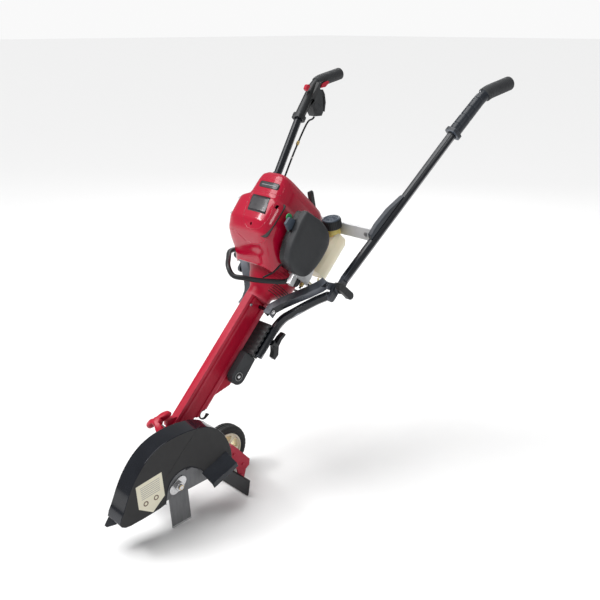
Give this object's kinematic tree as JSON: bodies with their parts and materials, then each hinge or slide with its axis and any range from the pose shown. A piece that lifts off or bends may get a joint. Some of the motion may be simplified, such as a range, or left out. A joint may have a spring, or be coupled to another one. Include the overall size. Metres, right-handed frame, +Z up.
{
  "type": "lawn edger",
  "caption": "Walk-behind lawn edger: engine over a straight shaft beam, guarded vertical blade, depth wheel on a tilting arm, folding handlebars with throttle.",
  "frame": {"origin": "midway between the two handle grips, where the operator's hands hold the edger", "axes": "+Z up; -Y towards the blade end; +Y towards the operator; +X to the operator's left, the side the blade is on"},
  "size_m": [0.606, 1.0623, 0.9437],
  "materials": {
    "bright_steel": "turned and ground bare steel",
    "blade_steel": "mid-grey hardened steel plate",
    "cast_aluminium": "die-cast aluminium, fine grain",
    "guard_black": "black enamel over pressed steel",
    "red_paint": "satin red powder coat",
    "red_gloss": "glossy crimson moulding",
    "red_plastic": "red moulded plastic",
    "tyre_rubber": "black ribbed tyre rubber",
    "cream_plastic": "cream, slightly translucent moulding",
    "black_rubber": "black rubber",
    "grey_rubber": "soft grey grip rubber",
    "black_plastic": "black textured moulding",
    "slate_plastic": "blue-grey moulding",
    "charcoal_plastic": "charcoal grained moulding",
    "black_tube": "black anodised fluted tube"
  },
  "bodies": {
    "root": {"main_beam": "red_paint", "gear_case": "cast_aluminium", "gear_case_cover": "cast_aluminium", "blade_shaft_bearing": "bright_steel", "blade_guard": "guard_black", "discharge_chute": "guard_black", "beam_clip": "black_plastic", "handle_mount": "black_plastic", "link_yoke": "slate_plastic", "lower_tube_left": "black_tube", "lower_tube_right": "black_tube", "struts": "black_tube", "throttle_cable_lower": "black_rubber", "clutch_housing": "red_paint", "crankcase_and_cylinder": "cast_aluminium", "recoil_housing": "black_plastic", "muffler": "bright_steel", "spark_plug": "black_rubber", "engine_cover": "red_gloss", "carburettor": "cast_aluminium", "primer_bulb": "black_rubber", "air_cleaner_cover": "charcoal_plastic", "fuel_tank": "cream_plastic", "fuel_line": "cream_plastic", "breather_hose": "black_rubber"},
    "cutter": {"blade_shaft": "bright_steel", "crown_gear": "bright_steel", "blade": "blade_steel", "blade_flange": "bright_steel", "blade_nut": "bright_steel"},
    "drive": {"drive_shaft": "bright_steel", "pinion_gear": "bright_steel", "clutch_drum": "bright_steel"},
    "crank": {"crankshaft": "bright_steel", "clutch_shoes": "cast_aluminium"},
    "wheel_arm": {"wheel_bracket": "red_paint", "wheel_axle": "bright_steel", "rubber_flap": "black_rubber"},
    "wheel": {"wheel_tyre": "tyre_rubber", "wheel_hub": "cream_plastic"},
    "depth_knob": {"depth_knob": "red_plastic"},
    "lock_lever": {"lock_lever": "black_plastic"},
    "upper_handle": {"upper_tube_left": "black_tube", "upper_tube_right": "black_tube", "grip_left": "grey_rubber", "grip_right": "grey_rubber", "side_moulding_left": "slate_plastic", "side_moulding_right": "slate_plastic", "handle_sleeve": "slate_plastic", "crossbar": "cast_aluminium", "throttle_housing": "black_plastic", "throttle_cable_upper": "black_rubber"},
    "fold_lever_left": {"fold_lever_left": "black_plastic"},
    "fold_lever_right": {"fold_lever_right": "black_plastic"},
    "throttle_trigger": {"throttle_trigger": "black_plastic"},
    "lock_off_lever": {"lock_off_lever": "red_plastic"},
    "stop_switch": {"stop_switch": "red_plastic"},
    "choke_lever": {"choke_lever": "slate_plastic"},
    "fuel_cap": {"fuel_cap": "slate_plastic"},
    "recoil_handle": {"recoil_handle": "black_plastic"}
  },
  "joints": [
    {"name": "blade_spin", "type": "hinge", "parent": "root", "child": "cutter", "pos_m": [0, -0.85, -0.813], "axis": [1, 0, 0], "continuous": true},
    {"name": "drive_spin", "type": "hinge", "parent": "root", "child": "drive", "pos_m": [0, -0.6727, -0.6228], "axis": [0, 0.682, 0.7314], "continuous": true},
    {"name": "crank_spin", "type": "hinge", "parent": "root", "child": "crank", "pos_m": [0, -0.4681, -0.4034], "axis": [0, 0.682, 0.7314], "continuous": true},
    {"name": "wheel_arm_tilt", "type": "hinge", "parent": "root", "child": "wheel_arm", "pos_m": [0, -0.7774, -0.7645], "axis": [1, 0, 0], "range_deg": [-6, 14]},
    {"name": "wheel_spin", "type": "hinge", "parent": "wheel_arm", "child": "wheel", "pos_m": [-0.02, -0.6255, -0.856], "axis": [1, 0, 0], "continuous": true},
    {"name": "depth_knob_turn", "type": "hinge", "parent": "root", "child": "depth_knob", "pos_m": [0, -0.80461, -0.735], "axis": [0, -0.6018, 0.7986], "continuous": true},
    {"name": "lock_lever_swing", "type": "hinge", "parent": "root", "child": "lock_lever", "pos_m": [0.052, -0.519, -0.5871], "axis": [0, -0.7314, 0.682], "range_deg": [0, 60]},
    {"name": "handle_fold", "type": "hinge", "parent": "root", "child": "upper_handle", "pos_m": [0, -0.4205, -0.438], "axis": [1, 0, 0], "range_deg": [-85, 0]},
    {"name": "fold_lever_left_swing", "type": "hinge", "parent": "upper_handle", "child": "fold_lever_left", "pos_m": [0.1695, -0.4205, -0.438], "axis": [1, 0, 0], "range_deg": [-45, 0]},
    {"name": "fold_lever_right_swing", "type": "hinge", "parent": "upper_handle", "child": "fold_lever_right", "pos_m": [-0.1695, -0.4205, -0.438], "axis": [1, 0, 0], "range_deg": [-45, 0]},
    {"name": "throttle_trigger_squeeze", "type": "hinge", "parent": "upper_handle", "child": "throttle_trigger", "pos_m": [-0.272, -0.046, -0.035], "axis": [1, 0, 0], "range_deg": [-8, 0], "stiffness_Nm_per_rad": 1, "springref_deg": 8.59},
    {"name": "lock_off_press", "type": "hinge", "parent": "upper_handle", "child": "lock_off_lever", "pos_m": [-0.262, -0.055, -0.024], "axis": [1, 0, 0], "range_deg": [-6, 0], "stiffness_Nm_per_rad": 0.5, "springref_deg": 6.88},
    {"name": "stop_switch_rock", "type": "hinge", "parent": "upper_handle", "child": "stop_switch", "pos_m": [-0.271, -0.1, -0.025], "axis": [1, 0, 0], "range_deg": [-4, 4]},
    {"name": "choke_lever_swing", "type": "hinge", "parent": "root", "child": "choke_lever", "pos_m": [0.092, -0.4997, -0.3083], "axis": [1, 0, 0], "range_deg": [0, 20]},
    {"name": "fuel_cap_turn", "type": "hinge", "parent": "root", "child": "fuel_cap", "pos_m": [0.085, -0.355, -0.318], "axis": [0, -0.225, 0.9744], "continuous": true},
    {"name": "recoil_pull", "type": "slide", "parent": "root", "child": "recoil_handle", "axis": [0, 0.682, 0.7314], "range_m": [0, 0.05], "stiffness_N_per_m": 40, "springref_m": -0.05}
  ],
  "couplings": [
    {"joint": "drive_spin", "follows": "blade_spin", "ratio": 2}
  ]
}
